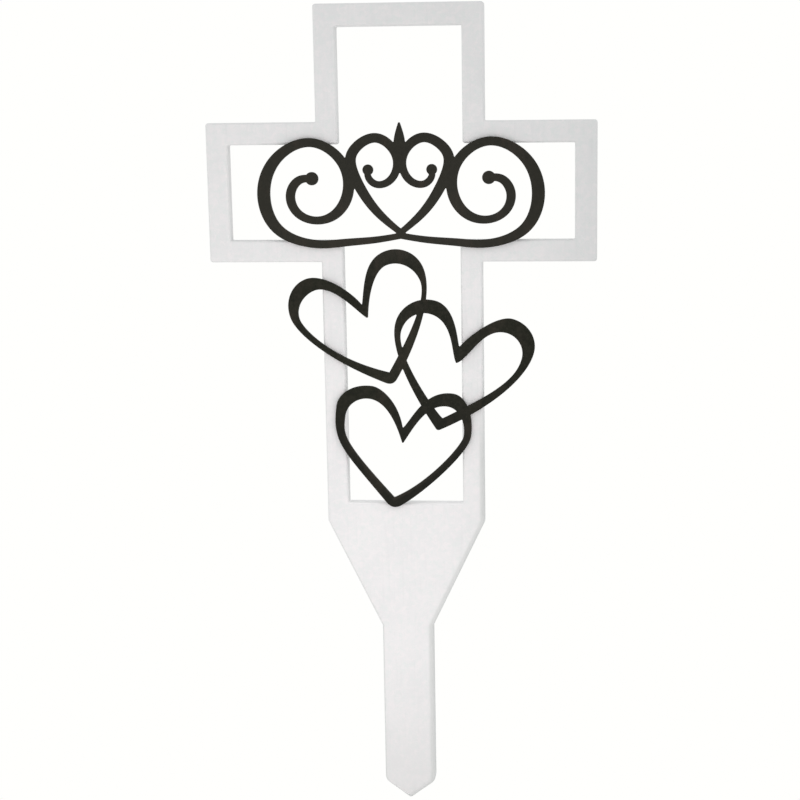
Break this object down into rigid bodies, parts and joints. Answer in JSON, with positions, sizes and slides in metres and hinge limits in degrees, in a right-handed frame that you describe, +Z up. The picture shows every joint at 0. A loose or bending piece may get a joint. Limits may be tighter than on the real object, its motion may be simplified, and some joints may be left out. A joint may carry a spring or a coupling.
{
  "type": "grave cross",
  "caption": "Flat cut-metal garden grave cross with an open window, a scroll ornament, linked hearts and a pointed ground stake.",
  "frame": {"origin": "on the middle plane of the white plate, on its upright axis, at ground level where the blade meets the stake", "axes": "+Z up along the upright, +X to the right seen from the front, -Y the front face that carries the black sheets"},
  "size_m": [0.19, 0.009, 0.3998],
  "materials": {
    "white_coat": "satin powder coat with a fine orange-peel texture",
    "black_coat": "satin black powder coat"
  },
  "bodies": {
    "root": {"cross_stake": "white_coat", "scroll_panel": "black_coat", "hearts_panel": "black_coat"}
  },
  "joints": []
}
